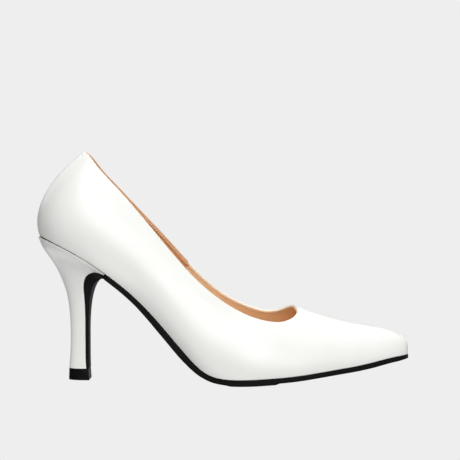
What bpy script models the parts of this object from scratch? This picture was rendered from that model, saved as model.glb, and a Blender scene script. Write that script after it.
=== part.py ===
"""Stiletto pump, right shoe: hollow leather upper, insole, outsole with breast flap, covered heel, top piece.

Frame: +X towards the toe, +Y towards the inner side of the foot, +Z up, floor at z = 0.
The heel's back is at x = 0 in the tables and the empty at the end moves the middle of the shoe to the origin.
"""

from collections import namedtuple

import bmesh
import bpy
import numpy as np

# Driving sizes, in metres.
LENGTH = 0.2325
BALL_WIDTH = 0.072
HEEL_HEIGHT = 0.090
WALL = 0.0016
GAP = 0.0003
INSOLE_THICKNESS = 0.0020
INSOLE_MARGIN = 0.0022
FLAP_THICKNESS = 0.0015
SOLE_EDGE = 0.0003
TURN_GAP = 0.0020
SEAT_PROUD = 0.0005
TOP_PIECE_HEIGHT = 0.0070
TOP_PIECE_CHAMFER = 0.0004

# The middle of the shoe's box as the tables measure it, which the origin is under.
MIDDLE_X = 0.11660
MIDDLE_Y = -0.00050

# Points nearer than this are one point, and edges sharper than this many degrees stay sharp.
MERGE = 0.00002
SHARP_ANGLE = 40

# Shares and powers: where the heel's seat starts along LENGTH, how flat the sole's belly is across, how square
# the heel's stem is (1 is an ellipse), how much wider the top piece is just above its chamfer and at the floor.
HEEL_FRONT = 0.20
BELLY_POWER = 4
STEM_POWER = 0.8
TOP_PIECE_SPREAD = 1.05
TOP_PIECE_TREAD = 1.02

# How finely the tables are sampled: coarsely for the solids, finely for the last and for the topline's cut.
STEPS = 3
FINE_STEPS = 30
CUT_TRIES = 400
WALL_ROWS = 9
SOLE_COLUMNS = 8

# Counted in rows of the tables: the throat, the insole's front end, how fast the stations bunch up behind the
# throat and how soon the crown's slope stops turning the sections there, then how far back the topline crosses the
# ridge and how many rows beside the throat move with it. SLIDE_SHARE: how far up the outer side that starts.
THROAT_ROW = 9
INSOLE_ROW = 3
THROAT_EASE = 0.8
LEVEL_ROWS = 4
THROAT_SLIDE = 0.35
SLIDE_ROWS = 3
SLIDE_SHARE = 0.74

# The feather line, where the upper turns onto the sole, a row for each section from toe to back.
# along: share of LENGTH. height: share of HEEL_HEIGHT. outer, inner: shares of BALL_WIDTH.
# lean: degrees that the wall tips outwards there. pull: how stiffly it keeps that direction.
Feather = namedtuple("Feather", "along height outer inner lean pull")
FEATHER = (
    Feather(0.9990, 0.180, 0.000, 0.000, 0, 0.450),
    Feather(0.9972, 0.180, -0.030, 0.030, 2, 0.450),
    Feather(0.9900, 0.179, -0.067, 0.068, 4, 0.450),
    Feather(0.9735, 0.175, -0.110, 0.112, 6, 0.450),
    Feather(0.9430, 0.163, -0.154, 0.158, 8, 0.450),
    Feather(0.9010, 0.141, -0.206, 0.213, 10, 0.450),
    Feather(0.8550, 0.120, -0.261, 0.271, 11, 0.450),
    Feather(0.8090, 0.105, -0.317, 0.327, 12, 0.450),
    Feather(0.7690, 0.092, -0.364, 0.374, 13, 0.450),
    Feather(0.7370, 0.082, -0.399, 0.409, 14, 0.450),
    Feather(0.7070, 0.073, -0.429, 0.436, 15, 0.400),
    Feather(0.6690, 0.065, -0.461, 0.462, 16, 0.360),
    Feather(0.6190, 0.057, -0.488, 0.482, 17, 0.330),
    Feather(0.5570, 0.049, -0.490, 0.457, 19, 0.320),
    Feather(0.4760, 0.066, -0.430, 0.366, 23, 0.330),
    Feather(0.4190, 0.171, -0.374, 0.292, 27, 0.340),
    Feather(0.3440, 0.390, -0.325, 0.236, 29, 0.350),
    Feather(0.2670, 0.598, -0.312, 0.229, 29, 0.350),
    Feather(0.1890, 0.760, -0.328, 0.256, 28, 0.350),
    Feather(0.1160, 0.881, -0.322, 0.268, 27, 0.350),
    Feather(0.0470, 0.968, -0.245, 0.215, 24, 0.350),
    Feather(0.0080, 1.004, 0.011, 0.011, 19, 0.350),
)

# The line over the last that each section runs up to, in step with the feather line: the ridge of the vamp as
# far as the throat, then the cone above the topline. lean: degrees that the section tips inwards there.
Crown = namedtuple("Crown", "along height outer inner lean pull")
CROWN = (
    Crown(0.9990, 0.180, 0.000, 0.000, 90, 0.45),
    Crown(0.9994, 0.224, 0.000, 0.000, 90, 0.50),
    Crown(0.9950, 0.274, 0.000, 0.000, 90, 0.52),
    Crown(0.9760, 0.318, 0.003, 0.003, 90, 0.52),
    Crown(0.9370, 0.355, 0.007, 0.007, 90, 0.50),
    Crown(0.8830, 0.379, 0.014, 0.014, 90, 0.48),
    Crown(0.8260, 0.410, 0.022, 0.022, 90, 0.46),
    Crown(0.7720, 0.448, 0.030, 0.030, 90, 0.44),
    Crown(0.7320, 0.482, 0.037, 0.037, 90, 0.42),
    Crown(0.7020, 0.509, 0.042, 0.042, 90, 0.42),
    Crown(0.6710, 0.536, 0.033, 0.047, 87, 0.42),
    Crown(0.6390, 0.565, -0.022, 0.092, 74, 0.41),
    Crown(0.6040, 0.590, -0.115, 0.160, 55, 0.40),
    Crown(0.5600, 0.617, -0.195, 0.222, 41, 0.40),
    Crown(0.5030, 0.690, -0.245, 0.256, 31, 0.40),
    Crown(0.4310, 0.840, -0.247, 0.247, 25, 0.39),
    Crown(0.3510, 1.055, -0.233, 0.229, 23, 0.385),
    Crown(0.2750, 1.270, -0.213, 0.207, 24, 0.385),
    Crown(0.2120, 1.440, -0.178, 0.170, 29, 0.40),
    Crown(0.1790, 1.562, -0.116, 0.107, 38, 0.44),
    Crown(0.1715, 1.636, -0.052, 0.046, 51, 0.465),
    Crown(0.1710, 1.656, 0.008, 0.008, 60, 0.475),
)

# The topline as seen from the side, from the throat to the back, for each side of the foot.
Topline = namedtuple("Topline", "along height inner_along inner_height")
TOPLINE = (
    Topline(0.7020, 0.509, 0.7020, 0.509),
    Topline(0.6983, 0.471, 0.6886, 0.505),
    Topline(0.6690, 0.431, 0.6640, 0.481),
    Topline(0.6280, 0.431, 0.6230, 0.463),
    Topline(0.5720, 0.471, 0.5680, 0.498),
    Topline(0.5050, 0.565, 0.5010, 0.584),
    Topline(0.4310, 0.722, 0.4250, 0.750),
    Topline(0.3527, 0.947, 0.3462, 0.973),
    Topline(0.2796, 1.173, 0.2731, 1.173),
    Topline(0.2194, 1.347, 0.2129, 1.340),
    Topline(0.1742, 1.471, 0.1699, 1.462),
    Topline(0.1440, 1.562, 0.1415, 1.556),
    Topline(0.1300, 1.586, 0.1300, 1.586),
)

# The heel, a row for each ring from the seat down to the foot. x and z are shares of HEEL_HEIGHT from the back
# of the shoe and from the floor, widths are shares of BALL_WIDTH. round: 0 is the seat's outline and 1 a D.
# face_x, face_z: the face of the outsole's turn and flap in front of the ring.
Ring = namedtuple("Ring", "front_x front_z back_x back_z outer inner round face_x face_z")
HEEL = (
    Ring(0.4960, 0.7430, 0.0250, 0.9640, -0.316, 0.245, 0.05, 0.4956, 0.7140),
    Ring(0.4460, 0.7560, 0.0395, 0.9280, -0.280, 0.219, 0.15, 0.4767, 0.7160),
    Ring(0.3980, 0.7530, 0.0640, 0.8900, -0.234, 0.189, 0.30, 0.4500, 0.7050),
    Ring(0.3600, 0.7260, 0.0930, 0.8480, -0.194, 0.161, 0.45, 0.4220, 0.6820),
    Ring(0.3410, 0.6800, 0.1330, 0.7880, -0.163, 0.140, 0.60, 0.4010, 0.6470),
    Ring(0.3380, 0.6200, 0.1710, 0.7080, -0.134, 0.117, 0.75, 0.3850, 0.5950),
    Ring(0.3410, 0.5480, 0.2060, 0.6100, -0.109, 0.097, 0.90, 0.3745, 0.5300),
    Ring(0.3430, 0.4600, 0.2260, 0.4900, -0.091, 0.084, 1.00, 0.3680, 0.4510),
    Ring(0.3425, 0.3600, 0.2335, 0.3700, -0.080, 0.076, 1.00, 0.3655, 0.3580),
    Ring(0.3425, 0.2300, 0.2330, 0.2300, -0.077, 0.074, 1.00, 0.3655, 0.2300),
    Ring(0.3440, 0.1400, 0.2275, 0.1400, -0.080, 0.077, 1.00, 0.3655, 0.1400),
    Ring(0.3480, 0.0811, 0.2225, 0.0811, -0.086, 0.083, 1.00, 0.3667, 0.0811),
)

# The outsole under the feather line, in metres. edge: thickness at its side. crown: how far its middle hangs.
Sole = namedtuple("Sole", "along edge crown")
SOLE = (
    Sole(0.9985, 0.0020, 0.0000),
    Sole(0.9700, 0.0026, 0.0003),
    Sole(0.9000, 0.0029, 0.0005),
    Sole(0.7800, 0.0028, 0.0008),
    Sole(0.6500, 0.0029, 0.0009),
    Sole(0.6400, 0.0036, 0.0010),
    Sole(0.5900, 0.0036, 0.0013),
    Sole(0.5220, 0.0035, 0.0013),
    Sole(0.5120, 0.0031, 0.0009),
    Sole(0.4600, 0.0030, 0.0006),
    Sole(0.4000, 0.0038, 0.0004),
    Sole(0.3400, 0.0037, 0.0003),
    Sole(0.2800, 0.0031, 0.0002),
    Sole(0.2000, 0.0029, 0.0001),
)

WHITE_LEATHER = (0.83, 0.83, 0.80, 1.0)
TAN_LEATHER = (0.52, 0.29, 0.15, 1.0)
BLACK_SOLE = (0.012, 0.011, 0.011, 1.0)
BLACK_RUBBER = (0.009, 0.009, 0.010, 1.0)


def spline(rows, steps, closed=False):
    """Smooth curve through rows of numbers, x, y and z first, with knots at the root of the chord length."""
    rows = np.asarray(rows, float)
    ends = np.vstack([rows, rows[:1]]) if closed else rows
    spans = np.sqrt(np.linalg.norm(np.diff(ends[:, :3], axis=0), axis=1))
    slopes = np.diff(ends, axis=0) / spans[:, None]
    count = len(rows)
    system = np.zeros((count, count))
    target = np.zeros_like(rows)
    for i in range(count):
        if closed or 0 < i < count - 1:
            before, after = spans[i - 1], spans[i % len(spans)]
            system[i, i - 1] += after
            system[i, i] += 2 * (before + after)
            system[i, (i + 1) % count] += before
            target[i] = 3 * (after * slopes[i - 1] + before * slopes[i % len(spans)])
        else:
            inward = 1 if i == 0 else count - 2
            system[i, i] = 2
            system[i, inward] = 1
            target[i] = 3 * slopes[0 if i == 0 else -1]
    tangents = np.linalg.solve(system, target)
    if closed:
        tangents = np.vstack([tangents, tangents[:1]])
    out = []
    for i, span in enumerate(spans):
        for t in np.arange(steps) / steps:
            swing = (1 - t) ** 2 * t * span * tangents[i] - (1 - t) * t * t * span * tangents[i + 1]
            out.append((1 + 2 * t) * (1 - t) ** 2 * ends[i] + (3 - 2 * t) * t * t * ends[i + 1] + swing)
    if not closed:
        out.append(ends[-1])
    return np.array(out)


def two_sides(outer_rows, inner_rows, steps):
    """Closed curve through both sides, split into outer and inner from front to back, each with its own lean."""
    loop = spline(list(outer_rows) + list(inner_rows)[-2:0:-1], steps, closed=True)
    half = (len(outer_rows) - 1) * steps
    sides = loop[: half + 1], np.vstack([loop[:1], loop[:half - 1:-1]])
    for side, rows in zip(sides, (outer_rows, inner_rows)):
        side[:, 3:] = spline(rows, steps)[:, 3:]
    return sides


def plan_normals(curve, side):
    """Horizontal unit vectors that point out of the shoe, side -1 for the outer and 1 for the inner curve."""
    step = np.gradient(curve[:, :2], axis=0)
    normals = side * np.stack([step[:, 1], -step[:, 0]], axis=1)
    normals[0] = (1, 0)
    normals[-1] = (-1, 0)
    return normals / np.linalg.norm(normals, axis=1)[:, None]


def across(path):
    """Unit vectors in the side view that point out of the shoe's underside, for a path from toe to heel."""
    step = np.gradient(path, axis=0)
    normals = np.column_stack([-step[:, 2], np.zeros(len(step)), step[:, 0]])
    return normals / np.linalg.norm(normals, axis=1)[:, None]


def side_rows(table, column):
    """Rows of one side of a table in metres: x, y, z, lean, pull."""
    return [
        (
            row.along * LENGTH,
            getattr(row, column) * BALL_WIDTH,
            row.height * HEEL_HEIGHT,
            row.lean,
            row.pull,
        )
        for row in table
    ]


def feather_sides(steps):
    """Outer and inner feather line with the lean and pull of the wall in the last two columns."""
    return two_sides(side_rows(FEATHER, "outer"), side_rows(FEATHER, "inner"), steps)


def eased(x):
    """Step from 0 to 1 that starts and ends level."""
    x = np.clip(x, 0, 1)
    return x * x * (3 - 2 * x)


def crown_sides(steps):
    """Outer and inner crown line, which are one line as far as the throat."""
    path = spline(side_rows(CROWN, "outer") + side_rows(CROWN, "inner")[-2::-1], steps)
    half = (len(CROWN) - 1) * steps
    sides = [path[:half + 1], path[:half - 1:-1]]
    ridge = (sides[0] + sides[1]) / 2
    apart = eased(np.arange(half + 1) / steps - THROAT_ROW - THROAT_SLIDE)[:, None]
    return [ridge + (side - ridge) * apart for side in sides]


def topline_sides(steps):
    """Outer and inner topline in the plane of the side view."""
    rows = np.array(TOPLINE) * [LENGTH, HEEL_HEIGHT, LENGTH, HEEL_HEIGHT]
    flat = np.zeros(len(rows))
    return [spline(np.column_stack([rows[:, k], flat, rows[:, k + 1]]), steps) for k in (0, 2)]


def section_controls(feather, crown, side):
    """Control points of each section of the last, a cubic curve from the feather line up to the crown.

    At the ridge the curves arrive in its tangent plane, which turns level over a few rows behind the throat.
    """
    foot = feather[:, :3]
    head = crown[:, :3]
    normals = plan_normals(feather, side)
    out_low = np.column_stack([normals, np.zeros(len(foot))])
    step = -np.gradient(head, axis=0)
    behind = (np.arange(len(foot)) / FINE_STEPS - THROAT_ROW) / LEVEL_ROWS
    slope = np.arctan2(step[:, 2], step[:, 0]) * (1 - eased(behind))
    out_high = np.column_stack([normals[:, 0] * np.cos(slope), normals[:, 1], normals[:, 0] * np.sin(slope)])
    rise = (head - foot)[:, 2:]
    reach = np.linalg.norm((head - foot)[:, :2], axis=1)[:, None]
    up = np.array([0.0, 0.0, 1.0])
    low = np.radians(feather[:, 3:4])
    high = np.radians(crown[:, 3:4])
    handle_low = feather[:, 4:5] * rise * (out_low * np.sin(low) + up * np.cos(low))
    length_high = crown[:, 4:5] * (reach * np.sin(high) + rise * np.cos(high))
    handle_high = length_high * (out_high * np.sin(high) - up * np.cos(high))
    return np.array([foot, foot + handle_low, head + handle_high, head])


def last_points(controls, stations, shares):
    """Points of the last: stations count the tables' rows, shares run from the feather line to the crown."""
    places = np.clip(stations * FINE_STEPS, 0, controls.shape[1] - 1)
    first = np.minimum(places.astype(int), controls.shape[1] - 2)
    part_way = (places - first)[..., None]
    a, b, c, d = controls[:, first] * (1 - part_way) + controls[:, first + 1] * part_way
    t = shares[..., None]
    return (1 - t) ** 3 * a + 3 * (1 - t) ** 2 * t * b + 3 * (1 - t) * t * t * c + t ** 3 * d


def topline_shares(controls, stations, topline):
    """How far up each section the topline cuts it, seen from the side, and 1 in front of the throat."""
    shares = np.linspace(0, 1, CUT_TRIES)
    points = last_points(controls, stations[:, None], shares[None, :])
    above = points[..., 2] - np.interp(points[..., 0], topline[::-1, 0], topline[::-1, 2])
    under = CUT_TRIES - 2 - np.argmax(above[:, -2::-1] < 0, axis=1)
    rows = np.arange(len(stations))
    start, end = above[rows, under], above[rows, under + 1]
    cut = (under - start / np.where(end == start, 1, end - start)) / (CUT_TRIES - 1)
    return np.where(stations > THROAT_ROW, np.clip(cut, 0, 1), 1)


def slid(stations, shares, side):
    """Stations moved back along the ridge at the throat, which puts its foremost point on the outer side of it."""
    beside = 1 - eased(np.abs(stations - THROAT_ROW) / SLIDE_ROWS)
    start = SLIDE_SHARE if side < 0 else 0.0
    return stations + THROAT_SLIDE * beside * np.clip((shares - start) / (1 - start), 0, 1) ** 2


def wall(controls, topline, side):
    """Grid of points of the upper's skin, stations by rows from the feather line up to its edge.

    Behind the throat the stations' upper ends bunch up, so that they step evenly round its curve.
    """
    foot = np.arange((len(FEATHER) - 1) * STEPS + 1) / STEPS
    behind = np.maximum(foot - THROAT_ROW, 0)
    span = len(FEATHER) - 1 - THROAT_ROW
    bunched = behind ** 3 / (behind ** 2 + THROAT_EASE ** 2) * (span ** 2 + THROAT_EASE ** 2) / span ** 2
    head = np.where(foot > THROAT_ROW, THROAT_ROW + bunched, foot)
    cut = topline_shares(controls, head, topline)
    share = np.linspace(0, 1, WALL_ROWS + 1)
    stations = foot[:, None] + (head - foot)[:, None] * share ** 2
    shares = cut[:, None] * share
    return last_points(controls, slid(stations, shares, side), shares)


def mesh_object(name, points, faces, colour, roughness):
    """New object from points and faces, with doubled points merged."""
    mesh = bpy.data.meshes.new(name)
    mesh.from_pydata([tuple(p) for p in points], [], faces)
    shape = bmesh.new()
    shape.from_mesh(mesh)
    bmesh.ops.remove_doubles(shape, verts=shape.verts, dist=MERGE)
    shape.to_mesh(mesh)
    shape.free()
    mesh.shade_smooth()
    mesh.set_sharp_from_angle(angle=np.radians(SHARP_ANGLE))
    material = bpy.data.materials.new(name)
    material.use_nodes = True
    shader = material.node_tree.nodes["Principled BSDF"]
    shader.inputs["Base Color"].default_value = colour
    shader.inputs["Roughness"].default_value = roughness
    mesh.materials.append(material)
    part = bpy.data.objects.new(name, mesh)
    pump.objects.link(part)
    part.parent = placing
    return part


def loft(rings):
    """Points and faces of a solid through rings of equal count, with caps from each point to its mirror."""
    rings = np.asarray(rings)
    count = rings.shape[1]
    faces = []
    for i in range(len(rings) - 1):
        for j in range(count):
            k = (j + 1) % count
            faces.append((i * count + j, i * count + k, (i + 1) * count + k, (i + 1) * count + j))
    last = (len(rings) - 1) * count
    for j in range((count - 1) // 2):
        k = count - 1 - j
        rung = [j, k, k - 1, j + 1]
        faces.append(tuple(dict.fromkeys(rung)))
        faces.append(tuple(dict.fromkeys(last + n for n in reversed(rung))))
    return rings.reshape(-1, 3), faces


def make_upper():
    """Outer skin of both sides as one open surface, thickened inwards."""
    points = []
    faces = []
    lines = zip((-1, 1), feather_sides(FINE_STEPS), crown_sides(FINE_STEPS), topline_sides(FINE_STEPS))
    for side, feather, crown, topline in lines:
        grid = wall(section_controls(feather, crown, side), topline, side)
        start = len(points)
        points.extend(grid.reshape(-1, 3))
        rows = WALL_ROWS + 1
        for i in range(len(grid) - 1):
            for j in range(WALL_ROWS):
                a = start + i * rows + j
                quad = (a, a + 1, a + rows + 1, a + rows)
                faces.append(quad if side < 0 else quad[::-1])
    upper = mesh_object("upper", points, faces, WHITE_LEATHER, 0.35)
    shell = upper.modifiers.new("wall", "SOLIDIFY")
    shell.thickness = WALL
    shell.offset = -1
    shell.use_even_offset = True
    return upper


def make_insole(feather):
    """Thin board inside the wall, on the outsole and the heel seat."""
    edges = []
    for side, curve in zip((-1, 1), feather):
        inset = curve[:, :3].copy()
        inset[:, :2] -= plan_normals(curve, side) * INSOLE_MARGIN
        edges.append(inset[INSOLE_ROW * STEPS:])
    middle = (edges[0] + edges[1]) / 2
    slope = np.gradient(middle[:, 2]) / np.gradient(middle[:, 0])
    share = np.linspace(0, 1, SOLE_COLUMNS + 1)[:, None]
    rings = []
    for outer, inner, stretch in zip(edges[0], edges[1], np.hypot(1, slope)):
        low = outer + (inner - outer) * share
        high = low + (0, 0, INSOLE_THICKNESS * stretch)
        rings.append(np.vstack([high, low[::-1]]))
    points, faces = loft(rings)
    return mesh_object("insole", points, faces, TAN_LEATHER, 0.5)


def heel_rings(feather):
    """Rings of the heel from the seat down, each a blend of the seat's outline and a D, and the flap's face."""
    front = [row.along < HEEL_FRONT for row in FEATHER].index(True) * STEPS
    outer, inner = [curve[front:, :3] - (0, 0, GAP) for curve in feather]
    angles = np.linspace(0, np.pi / 2, len(outer))
    d_along = np.sin(angles) ** STEM_POWER
    d_wide = np.cos(angles) ** STEM_POWER
    reach = (outer[0, 0] - outer[:, 0]) / (outer[0, 0] - outer[-1, 0])
    sag = outer[:, 2] - outer[0, 2] - (outer[-1, 2] - outer[0, 2]) * reach
    middle = outer[-1, 1]
    seat = HEEL[0]._replace(
        front_x=outer[0, 0] / HEEL_HEIGHT,
        front_z=outer[0, 2] / HEEL_HEIGHT,
        back_x=(outer[-1, 0] - SEAT_PROUD) / HEEL_HEIGHT,
        back_z=outer[-1, 2] / HEEL_HEIGHT,
        outer=outer[0, 1] / BALL_WIDTH,
        inner=inner[0, 1] / BALL_WIDTH,
        round=0.0,
    )
    rings = []
    faces = []
    for row in spline([seat, *HEEL], STEPS):
        ring = Ring(*row)
        faces.append((ring.face_x * HEEL_HEIGHT, ring.face_z * HEEL_HEIGHT))
        offset = middle * (1 - ring.round)
        along = reach + (d_along - reach) * ring.round
        x = (ring.front_x + (ring.back_x - ring.front_x) * along) * HEEL_HEIGHT
        z = (ring.front_z + (ring.back_z - ring.front_z) * along) * HEEL_HEIGHT + sag * (1 - ring.round)
        sides = []
        for width, curve in ((ring.outer, outer), (ring.inner, inner)):
            seat_wide = (curve[:, 1] - middle) / (curve[0, 1] - middle)
            wide = seat_wide + (d_wide - seat_wide) * ring.round
            sides.append(np.column_stack([x, offset + wide * (width * BALL_WIDTH - offset), z]))
        rings.append(np.vstack([sides[0], sides[1][-2::-1]]))
    return rings, faces


def make_heel(rings):
    """Heel block with its leather cover, a loft through the rings."""
    points, faces = loft(rings)
    return mesh_object("heel", points, faces, WHITE_LEATHER, 0.38)


def make_top_piece(rings):
    """Rubber block under the heel's foot and the end of the flap."""
    foot = rings[-1].copy()
    back = foot[:, 0].min()
    front = foot[:, 0].max()
    foot[:, 0] = back + (foot[:, 0] - back) * (front + FLAP_THICKNESS - back) / (front - back)
    middle = foot[:, :2].mean(axis=0)
    levels = []
    for height, spread in ((TOP_PIECE_HEIGHT, 1), (TOP_PIECE_CHAMFER, TOP_PIECE_SPREAD), (0, TOP_PIECE_TREAD)):
        ring = foot.copy()
        ring[:, :2] = middle + (ring[:, :2] - middle) * spread
        ring[:, 2] = height
        levels.append(ring)
    points, faces = loft(levels)
    return mesh_object("top_piece", points, faces, BLACK_RUBBER, 0.5)


def make_outsole(feather, rings, face_line):
    """Sheet under the feather line that turns at the top of the breast and runs down it to the top piece."""
    outer, inner = [curve[:, :3] for curve in feather]
    keep = outer[:, 0] > rings[0][:, 0].max() + TURN_GAP
    edges = [np.column_stack([
        curve[keep, :2] + plan_normals(curve, side)[keep] * SOLE_EDGE,
        curve[keep, 2] - GAP,
    ]) for side, curve in ((-1, outer), (1, inner))]
    table = np.array(SOLE)[::-1]
    along = edges[0][:, 0] / LENGTH
    edge = np.interp(along, table[:, 0], table[:, 1])
    crown = np.interp(along, table[:, 0], table[:, 2])
    share = np.linspace(0, 1, SOLE_COLUMNS + 1)[:, None]
    belly = 1 - (2 * share - 1) ** BELLY_POWER
    sections = []
    down = across((edges[0] + edges[1]) / 2)
    for left, right, normal, thick, hang in zip(edges[0], edges[1], down, edge, crown):
        top = left + (right - left) * share
        low = top + normal * (thick + hang * belly)
        low[:, 2] = np.maximum(low[:, 2], 0.0)
        sections.append(np.vstack([top, low[::-1]]))
    breast = np.array([[ring[0], ring[-1]] for ring in rings[STEPS:]])
    for (left, right), normal, face in zip(breast, across(breast[:, 0]), face_line[STEPS:]):
        top = left + (right - left) * share + normal * GAP
        low = top.copy()
        low[:, ::2] = face
        sections.append(np.vstack([top, low[::-1]]))
    points, faces = loft(sections)
    return mesh_object("outsole", points, faces, BLACK_SOLE, 0.45)


for thing in list(bpy.data.objects):
    bpy.data.objects.remove(thing)

pump = bpy.data.collections.new("stiletto_pump")
bpy.context.scene.collection.children.link(pump)
placing = bpy.data.objects.new("middle_of_shoe", None)
placing.location = (-MIDDLE_X, -MIDDLE_Y, 0)
pump.objects.link(placing)

feather_lines = feather_sides(STEPS)
heel_sections, flap_face = heel_rings(feather_lines)
make_upper()
make_insole(feather_lines)
make_outsole(feather_lines, heel_sections, flap_face)
make_heel(heel_sections)
make_top_piece(heel_sections)
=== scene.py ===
from collections import namedtuple

import bmesh
import bpy
import numpy as np
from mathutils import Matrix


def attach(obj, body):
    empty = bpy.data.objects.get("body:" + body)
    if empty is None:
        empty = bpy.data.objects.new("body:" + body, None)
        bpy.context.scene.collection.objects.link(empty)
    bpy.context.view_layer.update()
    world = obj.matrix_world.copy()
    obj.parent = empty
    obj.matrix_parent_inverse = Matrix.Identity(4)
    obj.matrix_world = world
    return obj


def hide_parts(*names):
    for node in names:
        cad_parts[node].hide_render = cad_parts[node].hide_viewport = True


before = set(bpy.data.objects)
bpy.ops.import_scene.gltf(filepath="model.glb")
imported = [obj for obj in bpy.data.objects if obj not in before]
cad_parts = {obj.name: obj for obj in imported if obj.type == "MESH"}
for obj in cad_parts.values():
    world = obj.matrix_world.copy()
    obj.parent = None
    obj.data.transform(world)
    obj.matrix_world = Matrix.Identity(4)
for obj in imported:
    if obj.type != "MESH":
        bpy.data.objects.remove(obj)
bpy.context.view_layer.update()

# Upper: white calf leather drawn over a pointed last in one wall from toe to counter, with a back seam.
# Along the topline it is skived, folded in and stitched down, and underneath it goes under the sole.
# Sizes are in metres. Tables give shares of length, heel height and ball width, and rows count from the toe.
LENGTH = 0.2325
BALL_WIDTH = 0.072
HEEL_HEIGHT = 0.090
MIDDLE = np.array([0.11660, -0.00050, 0.0])
LEATHER = 0.0010
FOLD_ROUND = 0.00038
THROAT_ROW = 9
LEVEL_ROWS = 4
THROAT_SLIDE = 0.35
SLIDE_ROWS = 3
SLIDE_SHARE = 0.74
FINE = 30
CUT_TRIES = 400
UPPER_STEPS = 16
UPPER_ROWS = 44
SEAM_STEPS = 35
RIM_ANGLE = 75

Feather = namedtuple("Feather", "along height outer inner lean pull")
FEATHER = (
    Feather(0.9990, 0.180, 0.000, 0.000, 0, 0.450),
    Feather(0.9972, 0.180, -0.030, 0.030, 2, 0.450),
    Feather(0.9900, 0.179, -0.067, 0.068, 4, 0.450),
    Feather(0.9735, 0.175, -0.110, 0.112, 6, 0.450),
    Feather(0.9430, 0.163, -0.154, 0.158, 8, 0.450),
    Feather(0.9010, 0.141, -0.206, 0.213, 10, 0.450),
    Feather(0.8550, 0.120, -0.261, 0.271, 11, 0.450),
    Feather(0.8090, 0.105, -0.317, 0.327, 12, 0.450),
    Feather(0.7690, 0.092, -0.364, 0.374, 13, 0.450),
    Feather(0.7370, 0.082, -0.399, 0.409, 14, 0.450),
    Feather(0.7070, 0.073, -0.429, 0.436, 15, 0.400),
    Feather(0.6690, 0.065, -0.461, 0.462, 16, 0.360),
    Feather(0.6190, 0.057, -0.488, 0.482, 17, 0.330),
    Feather(0.5570, 0.049, -0.490, 0.457, 19, 0.320),
    Feather(0.4760, 0.066, -0.430, 0.366, 23, 0.330),
    Feather(0.4190, 0.171, -0.374, 0.292, 27, 0.340),
    Feather(0.3440, 0.390, -0.325, 0.236, 29, 0.350),
    Feather(0.2670, 0.598, -0.312, 0.229, 29, 0.350),
    Feather(0.1890, 0.760, -0.328, 0.256, 28, 0.350),
    Feather(0.1160, 0.881, -0.322, 0.268, 27, 0.350),
    Feather(0.0470, 0.968, -0.245, 0.215, 24, 0.350),
    Feather(0.0080, 1.004, 0.011, 0.011, 19, 0.350),
)
BACK_ROW = len(FEATHER) - 1
Crown = namedtuple("Crown", "along height outer inner lean pull")
CROWN = (
    Crown(0.9990, 0.180, 0.000, 0.000, 90, 0.45),
    Crown(0.9994, 0.224, 0.000, 0.000, 90, 0.50),
    Crown(0.9950, 0.274, 0.000, 0.000, 90, 0.52),
    Crown(0.9760, 0.318, 0.003, 0.003, 90, 0.52),
    Crown(0.9370, 0.355, 0.007, 0.007, 90, 0.50),
    Crown(0.8830, 0.379, 0.014, 0.014, 90, 0.48),
    Crown(0.8260, 0.410, 0.022, 0.022, 90, 0.46),
    Crown(0.7720, 0.448, 0.030, 0.030, 90, 0.44),
    Crown(0.7320, 0.482, 0.037, 0.037, 90, 0.42),
    Crown(0.7020, 0.509, 0.042, 0.042, 90, 0.42),
    Crown(0.6710, 0.536, 0.033, 0.047, 87, 0.42),
    Crown(0.6390, 0.565, -0.022, 0.092, 74, 0.41),
    Crown(0.6040, 0.590, -0.115, 0.160, 55, 0.40),
    Crown(0.5600, 0.617, -0.195, 0.222, 41, 0.40),
    Crown(0.5030, 0.690, -0.245, 0.256, 31, 0.40),
    Crown(0.4310, 0.840, -0.247, 0.247, 25, 0.39),
    Crown(0.3510, 1.055, -0.233, 0.229, 23, 0.385),
    Crown(0.2750, 1.270, -0.213, 0.207, 24, 0.385),
    Crown(0.2120, 1.440, -0.178, 0.170, 29, 0.40),
    Crown(0.1790, 1.562, -0.116, 0.107, 38, 0.44),
    Crown(0.1715, 1.636, -0.052, 0.046, 51, 0.465),
    Crown(0.1710, 1.656, 0.008, 0.008, 60, 0.475),
)
Topline = namedtuple("Topline", "along height inner_along inner_height")
TOPLINE = (
    Topline(0.7020, 0.509, 0.7020, 0.509),
    Topline(0.6983, 0.471, 0.6886, 0.505),
    Topline(0.6690, 0.431, 0.6640, 0.481),
    Topline(0.6280, 0.431, 0.6230, 0.463),
    Topline(0.5720, 0.471, 0.5680, 0.498),
    Topline(0.5050, 0.565, 0.5010, 0.584),
    Topline(0.4310, 0.722, 0.4250, 0.750),
    Topline(0.3527, 0.947, 0.3462, 0.973),
    Topline(0.2796, 1.173, 0.2731, 1.173),
    Topline(0.2194, 1.347, 0.2129, 1.340),
    Topline(0.1742, 1.471, 0.1699, 1.462),
    Topline(0.1440, 1.562, 0.1415, 1.556),
    Topline(0.1300, 1.586, 0.1300, 1.586),
)

# Soft low folds of the worn-in side, in the side view: place of the middle, degrees of its run, half length,
# half width and rise. side: -1 is the outer side of the foot.
Crease = namedtuple("Crease", "side along height turn half_length half_width rise")
CREASES = (
    Crease(-1, 0.1060, 0.0510, -37, 0.0160, 0.0024, 0.00025),
    Crease(1, 0.1040, 0.0500, -37, 0.0140, 0.0024, 0.00020),
)
BACK_SEAM_WIDTH = 0.0005
BACK_SEAM_RISE = 0.00022
# Rows of faces over which the raised seam fades out at the fold and at the feather line.
BACK_SEAM_FADE = 3
# Share of the lowest row of faces that is trimmed off at the back, over the heel's last table rows.
SEAT_TRIM = 0.55
SEAT_TRIM_ROWS = 2


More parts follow.
